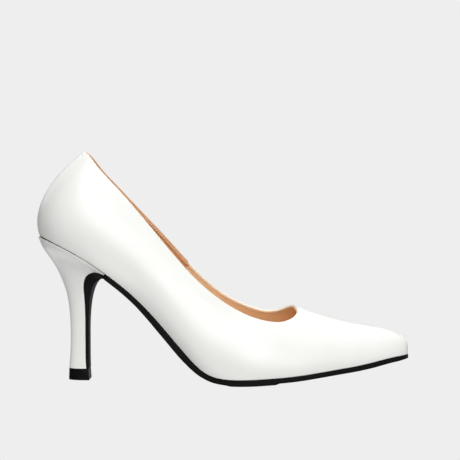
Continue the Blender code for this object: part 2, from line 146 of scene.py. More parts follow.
def smooth_rows(rows, at, closed=False):
    """Rows at the row counts in at, on a curve through the rows given.

    Between two rows it is a cubic, with knots at the root of the chord and slopes that keep its bend
    continuous.
    """
    rows = np.asarray(rows, float)
    ends = np.vstack([rows, rows[:1]]) if closed else rows
    spans = np.sqrt(np.linalg.norm(np.diff(ends[:, :3], axis=0), axis=1))
    rises = np.diff(ends, axis=0) / spans[:, None]
    count = len(rows)
    system = np.zeros((count, count))
    target = np.zeros_like(rows)
    for i in range(count):
        if closed or 0 < i < count - 1:
            before, after = spans[i - 1], spans[i % len(spans)]
            system[i, i - 1] += after
            system[i, i] += 2 * (before + after)
            system[i, (i + 1) % count] += before
            target[i] = 3 * (after * rises[i - 1] + before * rises[i % len(spans)])
        else:
            system[i, i] = 2
            system[i, 1 if i == 0 else count - 2] = 1
            target[i] = 3 * rises[0 if i == 0 else -1]
    slopes = np.linalg.solve(system, target)
    first = np.clip(np.floor(at).astype(int), 0, len(spans) - 1)
    second = (first + 1) % count
    way = (at - first)[:, None]
    rest = 1 - way
    swing = (rest * slopes[first] - way * slopes[second]) * way * rest * spans[first][:, None]
    return (1 + 2 * way) * rest ** 2 * rows[first] + (1 + 2 * rest) * way ** 2 * rows[second] + swing


def table_rows(table, column):
    """One side of a table in metres: x, y, z, lean, pull."""
    return [
        (row.along * LENGTH, getattr(row, column) * BALL_WIDTH, row.height * HEEL_HEIGHT, row.lean, row.pull)
        for row in table
    ]


def feather_line(at):
    """Outer and inner feather line at row counts, two halves of one closed curve."""
    outer = table_rows(FEATHER, "outer")
    inner = table_rows(FEATHER, "inner")
    loop = outer + inner[-2:0:-1]
    sides = []
    for rows, places in ((outer, at), (inner, len(loop) - at)):
        line = smooth_rows(loop, places, closed=True)
        line[:, 3:] = smooth_rows(rows, at)[:, 3:]
        sides.append(line)
    return sides


def eased(x):
    """Step from 0 to 1 that starts and ends level."""
    x = np.clip(x, 0, 1)
    return x * x * (3 - 2 * x)


def crown_line(at):
    """Outer and inner line over the last, as far as the throat the mean of both: the vamp's ridge."""
    path = table_rows(CROWN, "outer") + table_rows(CROWN, "inner")[-2::-1]
    sides = [smooth_rows(path, at), smooth_rows(path, len(path) - 1 - at)]
    ridge = (sides[0] + sides[1]) / 2
    apart = eased(at - THROAT_ROW - THROAT_SLIDE)[:, None]
    return [ridge + (side - ridge) * apart for side in sides]


def slid(stations, shares, side):
    """Stations moved back along the ridge at the throat, which puts its foremost point on the outer side."""
    beside = 1 - eased(np.abs(stations - THROAT_ROW) / SLIDE_ROWS)
    start = SLIDE_SHARE if side < 0 else 0.0
    return stations + THROAT_SLIDE * beside * np.clip((shares - start) / (1 - start), 0, 1) ** 2


def outward(line, side):
    """Level unit vectors square to a line from toe to back, out of the shoe on that side."""
    step = np.gradient(line[:, :2], axis=0)
    normals = side * np.stack([step[:, 1], -step[:, 0]], axis=1)
    normals[0] = (1, 0)
    normals[-1] = (-1, 0)
    return normals / np.linalg.norm(normals, axis=1)[:, None]


def section_handles(feather, crown, side):
    """Four control points of each section, a cubic that leaves the feather line leaning outwards.

    It arrives at the crown in its tangent plane, which turns level over a few rows behind the throat.
    """
    foot, head = feather[:, :3], crown[:, :3]
    normals = outward(feather, side)
    step = -np.gradient(head, axis=0)
    behind = (np.arange(len(foot)) / FINE - THROAT_ROW) / LEVEL_ROWS
    slope = np.arctan2(step[:, 2], step[:, 0]) * (1 - eased(behind))
    out_low = np.column_stack([normals, np.zeros(len(foot))])
    out_high = np.column_stack([normals[:, 0] * np.cos(slope), normals[:, 1], normals[:, 0] * np.sin(slope)])
    rise = (head - foot)[:, 2:]
    reach = np.linalg.norm((head - foot)[:, :2], axis=1)[:, None]
    up = np.array([0.0, 0.0, 1.0])
    low, high = np.radians(feather[:, 3:4]), np.radians(crown[:, 3:4])
    handle_low = feather[:, 4:5] * rise * (out_low * np.sin(low) + up * np.cos(low))
    length_high = crown[:, 4:5] * (reach * np.sin(high) + rise * np.cos(high))
    handle_high = length_high * (out_high * np.sin(high) - up * np.cos(high))
    return np.array([foot, foot + handle_low, head + handle_high, head])


def last_points(handles, stations, shares):
    """Points of the last: stations count table rows, shares run along each cubic from the feather line up."""
    places = np.clip(stations * FINE, 0, handles.shape[1] - 1)
    first = np.minimum(places.astype(int), handles.shape[1] - 2)
    part_way = (places - first)[..., None]
    foot, low, high, head = handles[:, first] * (1 - part_way) + handles[:, first + 1] * part_way
    up = shares[..., None]
    left = 1 - up
    return left ** 3 * foot + 3 * left ** 2 * up * low + 3 * left * up ** 2 * high + up ** 3 * head


def topline_curve(column, drop):
    """Side view of one side's topline, moved by drop square to itself into the leather."""
    rows = np.array(TOPLINE) * [LENGTH, HEEL_HEIGHT, LENGTH, HEEL_HEIGHT]
    rows = np.column_stack([rows[:, column], np.zeros(len(rows)), rows[:, column + 1]])
    curve = smooth_rows(rows, np.linspace(0, len(rows) - 1, FINE * (len(rows) - 1) + 1))
    step = np.gradient(curve, axis=0)
    into = np.column_stack([-step[:, 2], np.zeros(len(step)), step[:, 0]])
    return curve + into * drop / np.linalg.norm(into, axis=1)[:, None]


def topline_shares(handles, stations, topline, apex):
    """Share at which each section meets the topline in the side view, and 1 in front of its apex."""
    shares = np.linspace(0, 1, CUT_TRIES)
    points = last_points(handles, stations[:, None], shares[None, :])
    order = np.argsort(topline[:, 0])
    above = points[..., 2] - np.interp(points[..., 0], topline[order, 0], topline[order, 2])
    under = CUT_TRIES - 2 - np.argmax(above[:, -2::-1] < 0, axis=1)
    rows = np.arange(len(stations))
    start, end = above[rows, under], above[rows, under + 1]
    cut = (under - start / np.where(end == start, 1, end - start)) / (CUT_TRIES - 1)
    return np.where(stations > apex, np.clip(cut, 0, 1), 1)


fine_rows = np.arange(BACK_ROW * FINE + 1) / FINE
last_handles = [
    section_handles(feather, crown, side)
    for side, feather, crown in zip((-1, 1), feather_line(fine_rows), crown_line(fine_rows))
]


def skin_grid(side, foot, rows, drop):
    """Points of the last from the feather line to the topline, stations by rows.

    Behind the topline's apex the upper ends of the stations bunch up as the square of their distance, so
    that they step evenly round the throat.
    """
    ease = 0.8
    handles = last_handles[side > 0]
    ridge_step = (CROWN[THROAT_ROW - 1].along - CROWN[THROAT_ROW].along) * LENGTH
    apex = THROAT_ROW - drop / ridge_step
    behind = np.maximum(foot - apex, 0)
    span = BACK_ROW - apex
    head = np.where(foot > apex, apex + behind ** 2 / (behind + ease) * (span + ease) / span, foot)
    cut = topline_shares(handles, head, topline_curve(0 if side < 0 else 2, drop), apex)
    share = np.linspace(0, 1, rows + 1)
    stations = foot[:, None] + (head - foot)[:, None] * share ** 2
    shares = cut[:, None] * share
    return last_points(handles, slid(stations, shares, side), shares)


def grid_normals(grid, side):
    """Unit normals of a grid out of the shoe, from the cross product of its two directions."""
    normals = side * np.cross(np.gradient(grid, axis=0), np.gradient(grid, axis=1))
    length = np.linalg.norm(normals, axis=2, keepdims=True)
    return normals / np.where(length > 0, length, 1)


def grid_faces(rows, columns, start=0, closed=False):
    """Quads of a grid of points counted row by row, joined round to the first column where it is closed."""
    across = np.arange(columns if closed else columns - 1)
    row_starts = start + np.arange(rows - 1)[:, None] * columns
    here = row_starts + across
    beside = row_starts + (across + 1) % columns
    return np.stack([here, beside, beside + columns, here + columns], axis=-1).reshape(-1, 4)


def make_mesh(name, points, faces):
    """Mesh from points and faces with doubled points merged, in the frame of the part."""
    merge_distance = 0.00001
    mesh = bpy.data.meshes.new(name)
    mesh.from_pydata((points.reshape(-1, 3) - MIDDLE).tolist(), [], [list(face) for face in faces])
    shape = bmesh.new()
    shape.from_mesh(mesh)
    bmesh.ops.remove_doubles(shape, verts=shape.verts, dist=merge_distance)
    shape.to_mesh(mesh)
    shape.free()
    mesh.shade_smooth()
    return mesh


def make_piece(name, mesh, material):
    """Object of a mesh in the scene, riding on the shoe."""
    piece = bpy.data.objects.new(name, mesh)
    bpy.context.scene.collection.objects.link(piece)
    mesh.materials.append(material)
    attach(piece, "root")
    return piece


def linear(code):
    """Linear colour of an sRGB hex code."""
    srgb = np.array([int(code[i:i + 2], 16) for i in (1, 3, 5)]) / 255
    rgb = np.where(srgb <= 0.04045, srgb / 12.92, ((srgb + 0.055) / 1.055) ** 2.4)
    return (*rgb.tolist(), 1.0)


def add_node(material, kind, values=(), links=(), **settings):
    """Node of one kind with its settings, socket values and links, each by socket name or number."""
    tree = material.node_tree
    node = tree.nodes.new(kind)
    for name, value in settings.items():
        setattr(node, name, value)
    for name, value in dict(values).items():
        node.inputs[name].default_value = value
    for name, source in dict(links).items():
        tree.links.new(source, node.inputs[name])
    return node


def start_material(name):
    """New material with its shader and a node that gives Object coordinates."""
    material = bpy.data.materials.new(name)
    material.use_nodes = True
    shader = material.node_tree.nodes["Principled BSDF"]
    places = add_node(material, "ShaderNodeTexCoord").outputs["Object"]
    return material, shader, places


# Chrome-tanned calf with a white pigment finish, plated smooth: an even semi-gloss with a soft, broad
# highlight. The real grain is 0.3 mm, too fine to show, so it is drawn at 0.8 mm and very low.
def white_leather(name, roughness):
    grain_size, cloud_size = 0.0008, 0.014
    material, shader, places = start_material(name)
    cloud = add_node(
        material, "ShaderNodeTexNoise", {"Scale": 1 / cloud_size, "Detail": 3.0}, {"Vector": places}
    ).outputs["Fac"]
    tint = add_node(
        material, "ShaderNodeMix", {6: linear("#F0F1ED"), 7: linear("#ECEDE9")}, {0: cloud}, data_type="RGBA"
    ).outputs[2]
    gloss = add_node(
        material, "ShaderNodeMapRange", {3: roughness - 0.04, 4: roughness + 0.04}, {0: cloud}
    ).outputs[0]
    grain = add_node(
        material, "ShaderNodeTexVoronoi", {"Scale": 1 / grain_size}, {"Vector": places}, feature="SMOOTH_F1"
    ).outputs["Distance"]
    relief = add_node(
        material, "ShaderNodeBump", {"Strength": 0.06, "Distance": 0.0001}, {"Height": grain}
    ).outputs["Normal"]
    links = material.node_tree.links
    links.new(tint, shader.inputs["Base Color"])
    links.new(gloss, shader.inputs["Roughness"])
    links.new(relief, shader.inputs["Normal"])
    shader.inputs["IOR"].default_value = 1.48
    shader.inputs["Coat Weight"].default_value = 0.25
    shader.inputs["Coat Roughness"].default_value = 0.20
    return material


# The stations are even as far as the last table row but one, and from there they close up to the back seam.
even_stations = np.arange((BACK_ROW - 1) * UPPER_STEPS + 1) / UPPER_STEPS
seam_stations = BACK_ROW - (1 - np.linspace(0, 1, SEAM_STEPS + 1)[1:]) ** 2
upper_stations = np.concatenate([even_stations, seam_stations])
row_counts = np.arange(UPPER_ROWS + 1)
seam_fade = np.clip(np.minimum(row_counts, UPPER_ROWS - row_counts) / BACK_SEAM_FADE, 0, 1)
trim = SEAT_TRIM * np.clip(1 - (BACK_ROW - upper_stations) / SEAT_TRIM_ROWS, 0, 1) ** 2
upper_points, upper_faces = [], []
for side in (-1, 1):
    grid = skin_grid(side, upper_stations, UPPER_ROWS, 0.0)
    grid[:, 0] += (grid[:, 1] - grid[:, 0]) * trim[:, None]
    from_seam = np.linalg.norm(grid - grid[-1:], axis=2)
    lift = BACK_SEAM_RISE * seam_fade * np.exp(-((from_seam / BACK_SEAM_WIDTH) ** 2))
    for crease in CREASES:
        turn = np.radians(crease.turn)
        x, z = grid[..., 0] - crease.along, grid[..., 2] - crease.height
        run = np.clip((x * np.cos(turn) + z * np.sin(turn)) / crease.half_length, -1, 1)
        off = (z * np.cos(turn) - x * np.sin(turn)) / crease.half_width
        lift = lift + (crease.side == side) * crease.rise * (1 - run ** 2) ** 2 * np.exp(-(off ** 2))
    grid = grid + grid_normals(grid, side) * lift[..., None]
    faces = grid_faces(*grid.shape[:2], start=sum(len(part) for part in upper_points))
    upper_points.append(grid.reshape(-1, 3))
    upper_faces.append(faces if side < 0 else faces[:, ::-1])
upper_mesh = make_mesh("leather_upper", np.concatenate(upper_points), np.concatenate(upper_faces))
upper = make_piece(
    "leather_upper", upper_mesh, white_leather("white_plated_calf", roughness=0.30)
)
wall = upper.modifiers.new("leather", "SOLIDIFY")
wall.thickness = LEATHER
wall.offset = -1
wall.use_even_offset = True
fold = upper.modifiers.new("fold", "BEVEL")
fold.width = FOLD_ROUND
fold.segments = 3
# Only the two rims turn so sharply. A clamp would shrink the fold to the shortest edge, at the toe's tip.
fold.limit_method = "ANGLE"
fold.angle_limit = np.radians(RIM_ANGLE)
fold.use_clamp_overlap = False
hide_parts("upper")

# Lining: thin tan kid leather glued inside the upper and caught by the topline stitching. The vamp's is
# the same kid painted paler, painted light for the light that falls in at the throat, and is trimmed level
# with the fold; the quarters' stands a little above it. They meet at the waist.
LINING = 0.0005
GLUE = 0.00004
LINING_DEPTH = LEATHER + GLUE
LINING_STEPS = 14
LINING_ROWS = 30
WAIST_ROW = 15.6
Lining = namedtuple("Lining", "name front back drop light dark")
LININGS = (
    # The vamp's colours are painted light: the quarters' tan kid painted paler for the light that falls in at
    # the throat.
    Lining("vamp_lining", 1.5, WAIST_ROW, 0.0, "#FFE2B8", "#F8D0A0"),
    Lining("quarter_lining", WAIST_ROW, BACK_ROW, -0.0006, "#E2B489", "#CF9A6C"),
)


# Vegetable-tanned kid with a waxed finish: warm tan, mottled by wear, satin. The real grain of 0.5 mm is too
# fine to show and is drawn at 1 mm.
def tan_leather(name, light, dark, roughness):
    grain_size, mottle_size = 0.0010, 0.009
    material, shader, places = start_material(name)
    mottle = add_node(
        material, "ShaderNodeTexNoise",
        {"Scale": 1 / mottle_size, "Detail": 5.0, "Roughness": 0.6}, {"Vector": places},
    ).outputs["Fac"]
    tint = add_node(
        material, "ShaderNodeMix", {6: linear(light), 7: linear(dark)}, {0: mottle}, data_type="RGBA"
    ).outputs[2]
    grain = add_node(
        material, "ShaderNodeTexVoronoi", {"Scale": 1 / grain_size}, {"Vector": places}
    ).outputs["Distance"]
    relief = add_node(
        material, "ShaderNodeBump", {"Strength": 0.25, "Distance": 0.00012}, {"Height": grain}
    ).outputs["Normal"]
    links = material.node_tree.links
    links.new(tint, shader.inputs["Base Color"])
    links.new(relief, shader.inputs["Normal"])
    shader.inputs["Roughness"].default_value = roughness
    shader.inputs["IOR"].default_value = 1.47
    return material


for part in LININGS:
    even_end = min(part.back, BACK_ROW - 1)
    stations = np.linspace(part.front, even_end, int(LINING_STEPS * (even_end - part.front)) + 1)
    if part.back == BACK_ROW:
        stations = np.concatenate([stations, seam_stations[1::3]])
    points, faces = [], []
    for side in (-1, 1):
        grid = skin_grid(side, stations, LINING_ROWS, part.drop)
        quads = grid_faces(*grid.shape[:2], start=sum(len(half) for half in points))
        points.append(grid.reshape(-1, 3))
        faces.append(quads if side < 0 else quads[:, ::-1])
    mesh = make_mesh(part.name, np.concatenate(points), np.concatenate(faces))
    places, normals = (np.empty(3 * len(mesh.vertices), np.float32) for _ in range(2))
    mesh.vertices.foreach_get("co", places)
    mesh.vertex_normals.foreach_get("vector", normals)
    mesh.vertices.foreach_set("co", places - normals * LINING_DEPTH)
    kid = tan_leather("waxed_tan_kid_" + part.name, part.light, part.dark, roughness=0.46)
    lining = make_piece(part.name, mesh, kid)
    layer = lining.modifiers.new("kid", "SOLIDIFY")
    layer.thickness = LINING
    layer.offset = -1
    layer.use_even_offset = True

# Topline binding: a narrow strip of kid, skived thin and glued over the lining's top edge round the inside
# of the collar, pale along the vamp and tan round the quarters. It makes the topline firm.
BINDING_WIDTH = 0.0019
BINDING_THICKNESS = 0.0006
BINDING_PITCH = 0.0008
BINDING_JOINT = 0.095
BINDING_SIDES = 16


def topline_ring(pitch):
    """Even points round the topline from the throat over the outer side, the back and the inner side.

    With them come the leather's unit normals, the way square to the edge, down into the leather, and the
    tangents.
    """
    fine_count, row_step, share_step = 1200, 0.02, 0.01
    halves = []
    for side in (-1, 1):
        stations = THROAT_ROW + (BACK_ROW - THROAT_ROW) * np.linspace(0, 1, fine_count) ** 2
        handles = last_handles[side > 0]
        shares = topline_shares(handles, stations, topline_curve(0 if side < 0 else 2, 0.0), THROAT_ROW)
        places = slid(stations, shares, side)
        points = last_points(handles, places, shares)
        along = last_points(handles, places + row_step, shares)
        along -= last_points(handles, places - row_step, shares)
        up = last_points(handles, places, shares + share_step)
        up -= last_points(handles, places, shares - share_step)
        halves.append((points, side * np.cross(along, up)))
    points = np.concatenate([halves[0][0], halves[1][0][-2::-1]])
    normals = np.concatenate([halves[0][1], halves[1][1][-2::-1]])
    length = np.concatenate([[0], np.cumsum(np.linalg.norm(np.diff(points, axis=0), axis=1))])
    count = int(length[-1] / pitch)
    at = (np.arange(count) + 0.5) * length[-1] / count
    points, normals = (
        np.stack([np.interp(at, length, part[:, k]) for k in range(3)], axis=1) for part in (points, normals)
    )
    normals /= np.linalg.norm(normals, axis=1)[:, None]
    tangents = np.gradient(points, axis=0)
    tangents /= np.linalg.norm(tangents, axis=1)[:, None]
    down = np.cross(normals, tangents)
    return points, normals, down / np.linalg.norm(down, axis=1)[:, None], tangents


def capped_loft(rings):
    """Quads between closed rings of equal count, and caps of quads from each point to its mirror point."""
    rows, count = rings.shape[:2]
    near = np.arange((count - 1) // 2)
    far = count - 1 - near
    cap = np.stack([near, far, far - 1, near + 1], axis=1)
    end = (rows - 1) * count + cap[:, ::-1]
    quads = np.concatenate([grid_faces(rows, count, closed=True), cap, end])
    return [list(dict.fromkeys(quad)) for quad in quads.tolist()]


# The strip's section is a flat oval with square shoulders: the root of a cosine across it, the root of a sine
# through it, half of it sunk in the lining.
turn = np.linspace(2 * np.pi, 0, BINDING_SIDES, endpoint=False)
across = (1 + np.sign(np.cos(turn)) * np.sqrt(np.abs(np.cos(turn)))) / 2 * BINDING_WIDTH
through = np.sign(np.sin(turn)) * np.sqrt(np.abs(np.sin(turn))) / 2 * BINDING_THICKNESS
collar = topline_ring(BINDING_PITCH)
collar_order = np.arange(len(collar[0]))
back_first = np.roll(collar_order, len(collar_order) // 2)
in_front = collar[0][:, 0] > BINDING_JOINT
behind = collar_order[~in_front]
Binding = namedtuple("Binding", "name order light dark")
for part in (
    Binding("vamp_binding", back_first[in_front[back_first]], "#FBE8D0", "#F3D9B8"),
    Binding("quarter_binding", np.arange(behind[0] - 1, behind[-1] + 2), "#E2B489", "#CF9A6C"),
):
    points, normals, down = (rows[part.order][:, None] for rows in collar[:3])
    strip = points + down * across[:, None] - normals * (LINING_DEPTH + LINING + through)[:, None]
    make_piece(
        part.name, make_mesh(part.name, strip, capped_loft(strip)),
        tan_leather("skived_kid_" + part.name, part.light, part.dark, roughness=0.50),
    )

# Topline stitching: one row of lockstitch round the collar, in cream thread, that holds the lining to the
# fold of the leather and doesn't go through to the outside.
STITCH_DROP = 0.0009
STITCH_PITCH = 0.0017
STITCH_LENGTH = 0.0014
STITCH_WIDTH = 0.00060
STITCH_HEIGHT = 0.00034
STITCH_PROUD = 0.00003
STITCH_RINGS = 9
STITCH_SIDES = 8


# Twisted polyester thread: a satin strand, roughened by its twist of 0.5 mm.
def thread_material(name, colour):
    twist_size = 0.0005
    material, shader, places = start_material(name)
    twist = add_node(
        material, "ShaderNodeTexNoise", {"Scale": 1 / twist_size, "Detail": 1.0}, {"Vector": places}
    ).outputs["Fac"]
    relief = add_node(
        material, "ShaderNodeBump", {"Strength": 0.3, "Distance": 0.00008}, {"Height": twist}
    ).outputs["Normal"]
    material.node_tree.links.new(relief, shader.inputs["Normal"])
    shader.inputs["Base Color"].default_value = linear(colour)
    shader.inputs["Roughness"].default_value = 0.5
    return material


def stitch_mesh(name, centres, normals, tangents):
    """Row of stitches, each an oval strand along its tangent whose thin ends dive into the binding.

    From its middle to its ends a strand thins as the root of 1 less the fourth power of the distance, and
    sinks as its square.
    """
    place = np.linspace(-1, 1, STITCH_RINGS)[None, :, None, None]
    turn = np.linspace(0, 2 * np.pi, STITCH_SIDES, endpoint=False)[None, None, :, None]
    thin = np.sqrt(np.clip(1 - place ** 4, 0, 1))
    out, along = normals[:, None, None, :], tangents[:, None, None, :]
    across = np.cross(out, along)
    section = across * np.cos(turn) * STITCH_WIDTH / 2 + out * np.sin(turn) * STITCH_HEIGHT / 2
    run = along * place * STITCH_LENGTH / 2 - out * place ** 2 * STITCH_HEIGHT / 2
    points = centres[:, None, None, :] + run + thin * section
    strand = grid_faces(STITCH_RINGS, STITCH_SIDES, closed=True)
    starts = np.arange(len(centres)) * STITCH_RINGS * STITCH_SIDES
    return make_mesh(name, points, (strand[None] + starts[:, None, None]).reshape(-1, 4))


ring_points, ring_normals, ring_down, ring_tangents = topline_ring(STITCH_PITCH)
stitch_depth = LINING_DEPTH + LINING + BINDING_THICKNESS / 2 + STITCH_PROUD
inside = ring_points + ring_down * STITCH_DROP - ring_normals * stitch_depth
make_piece(
    "lining_stitches", stitch_mesh("lining_stitches", inside, -ring_normals, ring_tangents),
    thread_material("cream_polyester_thread", "#F4E3CB"),
)

# Insole: a board with a tan leather sock glued over it and a soft pad under the heel, laid inside the wall
# on the outsole and the heel seat.
INSOLE_THICKNESS = 0.0020
INSOLE_MARGIN = 0.0022
INSOLE_ROW = 3
INSOLE_STEPS = 8
PAD_MIDDLE = 0.034
PAD_HALF_LENGTH = 0.028
PAD_HALF_SHARE = 0.42
PAD_HEIGHT = 0.0008
SOCK_ROUND = 0.0005
SOCK_FLARE = 0.00035

insole_at = np.linspace(INSOLE_ROW, BACK_ROW, (BACK_ROW - INSOLE_ROW) * INSOLE_STEPS + 1)
insole_edges, sock_edges = [], []
for side, line in zip((-1, 1), feather_line(fine_rows)):
    way = np.column_stack([outward(line, side), np.zeros(len(line))])
    steep = np.hypot(1, np.gradient(line[:, 2]) / np.gradient(line[:, 0]))
    flare = INSOLE_THICKNESS * steep * np.tan(np.radians(line[:, 3])) + SOCK_FLARE
    inset = line[:, :3] - way * INSOLE_MARGIN
    for edges, edge in ((insole_edges, inset), (sock_edges, inset + way * flare[:, None])):
        edges.append(np.stack([np.interp(insole_at, fine_rows, edge[:, k]) for k in range(3)], axis=1))
left, right = insole_edges
middle = (left + right) / 2
stretch = np.hypot(1, np.gradient(middle[:, 2]) / np.gradient(middle[:, 0]))[:, None]
# Shares across, close together at the two edges, which are round.
edge_share = np.array([0, 0.004, 0.015])
share = np.concatenate([edge_share, np.linspace(0.04, 0.96, 25), 1 - edge_share[::-1]])
low = left[:, None] + (right - left)[:, None] * share[None, :, None]
width = np.linalg.norm(right - left, axis=1)[:, None]
from_edge = np.minimum(share, 1 - share)[None, :] * width
round_off = SOCK_ROUND * (1 - np.sqrt(1 - np.clip(1 - from_edge / SOCK_ROUND, 0, 1) ** 2))
from_pad = ((middle[:, :1] - PAD_MIDDLE) / PAD_HALF_LENGTH) ** 2 + ((share[None] - 0.5) / PAD_HALF_SHARE) ** 2
pad = PAD_HEIGHT * np.clip(1 - from_pad, 0, 1) ** 2
high = sock_edges[0][:, None] + (sock_edges[1] - sock_edges[0])[:, None] * share[None, :, None]
high[..., 2] += INSOLE_THICKNESS * stretch - round_off + pad * stretch
insole_rings = np.concatenate([high, low[:, ::-1]], axis=1)
insole = make_piece(
    "insole_sock", make_mesh("insole_sock", insole_rings, capped_loft(insole_rings)),
    tan_leather("waxed_tan_sock_leather", "#DDB084", "#C9966A", roughness=0.50),
)
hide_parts("insole")

# Heel: a moulded core covered in the upper's white leather, pulled tight from the seat down to the foot.
# Its seat is dished to the upper and the cover's edges are hidden under the flap of the sole.
HEEL_FRONT_ROW = 18
STEM_POWER = 0.8
GAP = 0.0003
SEAT_PROUD = 0.0005
SEAT_ROUND = 0.0005
SEAT_LIP = 0.0007
LIP_RINGS = 16
SHOULDER_RING = 3
# How much of the gap to the upper is closed in front, how far down to the shoulder's ring the rim and the
# shoulder lie, how much of the rounding the shoulder keeps in front, how much further in the rim goes at the
# back, and how late along the seat the joint opens.
SEAT_PRESS = 0.7
SHOULDER_FALL = 0.3
SHOULDER_IN = 0.3
RIM_CUT = 0.6
OPENING_POWER = 3
RING_STEPS = 10
SHARP_ANGLE = 50
# Rings from below the seat to the foot: x and z are shares of the heel height, outer and inner of the ball
# width, round is 0 for the seat's outline and 1 for a D, and the face is the front of the sole's flap.
Ring = namedtuple("Ring", "front_x front_z back_x back_z outer inner round face_x face_z")
HEEL = (
    Ring(0.4960, 0.7430, 0.0250, 0.9640, -0.316, 0.245, 0.05, 0.4956, 0.7140),
    Ring(0.4460, 0.7560, 0.0395, 0.9280, -0.280, 0.219, 0.15, 0.4767, 0.7160),
    Ring(0.3980, 0.7530, 0.0640, 0.8900, -0.234, 0.189, 0.30, 0.4500, 0.7050),
    Ring(0.3600, 0.7260, 0.0930, 0.8480, -0.194, 0.161, 0.45, 0.4220, 0.6820),
    Ring(0.3410, 0.6800, 0.1330, 0.7880, -0.163, 0.140, 0.60, 0.4010, 0.6470),
    Ring(0.3380, 0.6200, 0.1710, 0.7080, -0.134, 0.117, 0.75, 0.3850, 0.5950),
    Ring(0.3410, 0.5480, 0.2060, 0.6100, -0.109, 0.097, 0.90, 0.3745, 0.5300),
    Ring(0.3430, 0.4600, 0.2260, 0.4900, -0.091, 0.084, 1.00, 0.3680, 0.4510),
    Ring(0.3425, 0.3600, 0.2335, 0.3700, -0.080, 0.076, 1.00, 0.3655, 0.3580),
    Ring(0.3425, 0.2300, 0.2330, 0.2300, -0.077, 0.074, 1.00, 0.3655, 0.2300),
    Ring(0.3440, 0.1400, 0.2275, 0.1400, -0.080, 0.077, 1.00, 0.3655, 0.1400),
    Ring(0.3480, 0.0811, 0.2225, 0.0811, -0.086, 0.083, 1.00, 0.3667, 0.0811),
)

seat_at = np.linspace(HEEL_FRONT_ROW, BACK_ROW, (BACK_ROW - HEEL_FRONT_ROW) * RING_STEPS + 1)
seat_outer, seat_inner = (line[:, :3] - (0, 0, GAP) for line in feather_line(seat_at))
seat_row = HEEL[0]._replace(
    front_x=seat_outer[0, 0] / HEEL_HEIGHT, front_z=seat_outer[0, 2] / HEEL_HEIGHT,
    back_x=(seat_outer[-1, 0] - SEAT_PROUD) / HEEL_HEIGHT, back_z=seat_outer[-1, 2] / HEEL_HEIGHT,
    outer=seat_outer[0, 1] / BALL_WIDTH, inner=seat_inner[0, 1] / BALL_WIDTH, round=0.0,
)
ring_at = np.linspace(0, len(HEEL), len(HEEL) * RING_STEPS + 1)
ring_columns = Ring(*smooth_rows([seat_row, *HEEL], ring_at).T[:, :, None])
angles = np.linspace(0, np.pi / 2, len(seat_at))
reach = (seat_outer[0, 0] - seat_outer[:, 0]) / (seat_outer[0, 0] - seat_outer[-1, 0])
sag = seat_outer[:, 2] - seat_outer[0, 2] - (seat_outer[-1, 2] - seat_outer[0, 2]) * reach
seat_middle = seat_outer[-1, 1]
# Each ring runs from its front corner round the back. Down the heel, the seat's outline blends into a D whose
# along and wide are a sine and a cosine to a power under 1.
along = reach + (np.sin(angles) ** STEM_POWER - reach) * ring_columns.round
ring_x = (ring_columns.front_x + (ring_columns.back_x - ring_columns.front_x) * along) * HEEL_HEIGHT
ring_z = (ring_columns.front_z + (ring_columns.back_z - ring_columns.front_z) * along) * HEEL_HEIGHT
ring_z = ring_z + sag * (1 - ring_columns.round)
ring_halves = []
for width, line in ((ring_columns.outer, seat_outer), (ring_columns.inner, seat_inner)):
    seat_wide = (line[:, 1] - seat_middle) / (line[0, 1] - seat_middle)
    wide = seat_wide + (np.cos(angles) ** STEM_POWER - seat_wide) * ring_columns.round
    offset = seat_middle * (1 - ring_columns.round)
    ring_halves.append(np.stack([ring_x, offset + wide * (width * BALL_WIDTH - offset), ring_z], axis=2))
heel_rings = np.concatenate([ring_halves[0], ring_halves[1][:, -2::-1]], axis=1)
flap_face = np.column_stack([ring_columns.face_x, ring_columns.face_z]) * HEEL_HEIGHT
# The cover turns over the seat's edge: the first rings step in by a rounded shoulder. In front it is pressed
# against the upper. At the back, where the joint stands open, it lies lower and the heel swells to a lip.
centre = heel_rings[0].mean(axis=0)
inward = (centre - heel_rings[0]) * (1, 1, 0)
inward /= np.linalg.norm(inward, axis=1)[:, None]
opening = np.concatenate([reach, reach[-2::-1]])[:, None] ** OPENING_POWER
fall = heel_rings[SHOULDER_RING] - heel_rings[0]
pressed = (1 - opening) * (0, 0, SEAT_PRESS * GAP)
rim_in = SEAT_ROUND * (1 + RIM_CUT * opening)
rim = heel_rings[0] + pressed + fall * SHOULDER_FALL * opening + inward * rim_in
shoulder_out = SEAT_LIP * opening - SEAT_ROUND * SHOULDER_IN * (1 - opening)
shoulder = heel_rings[0] + fall * SHOULDER_FALL * (1 + opening) - inward * shoulder_out
swell = SEAT_LIP * np.clip(1 - np.arange(len(heel_rings)) / LIP_RINGS, 0, 1) ** 2
side_rings = heel_rings - inward * opening * swell[:, None, None]
cover_rings = np.concatenate([rim[None], shoulder[None], side_rings[SHOULDER_RING:]])
heel = make_piece(
    "heel_cover", make_mesh("heel_cover", cover_rings, capped_loft(cover_rings)),
    white_leather("white_plated_calf_on_heel", roughness=0.42),
)
heel.data.set_sharp_from_angle(angle=np.radians(SHARP_ANGLE))
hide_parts("heel")

# Seat cement with painted shade: the dark line of dried contact cement in the joint between the upper and the
# heel's seat, drawn dark brown so that it also stands for the shade in the gap. It was brushed on both, and
# pressed flat when the heel was fixed.
CEMENT_INSET = 0.0006
CEMENT_RISE = 0.0002
CEMENT_FALL = 0.9
cement_top = heel_rings[0] + (0, 0, CEMENT_RISE)
cement_low = heel_rings[0] + fall * CEMENT_FALL
cement_shade_rings = np.stack([cement_top, cement_low]) + inward * CEMENT_INSET
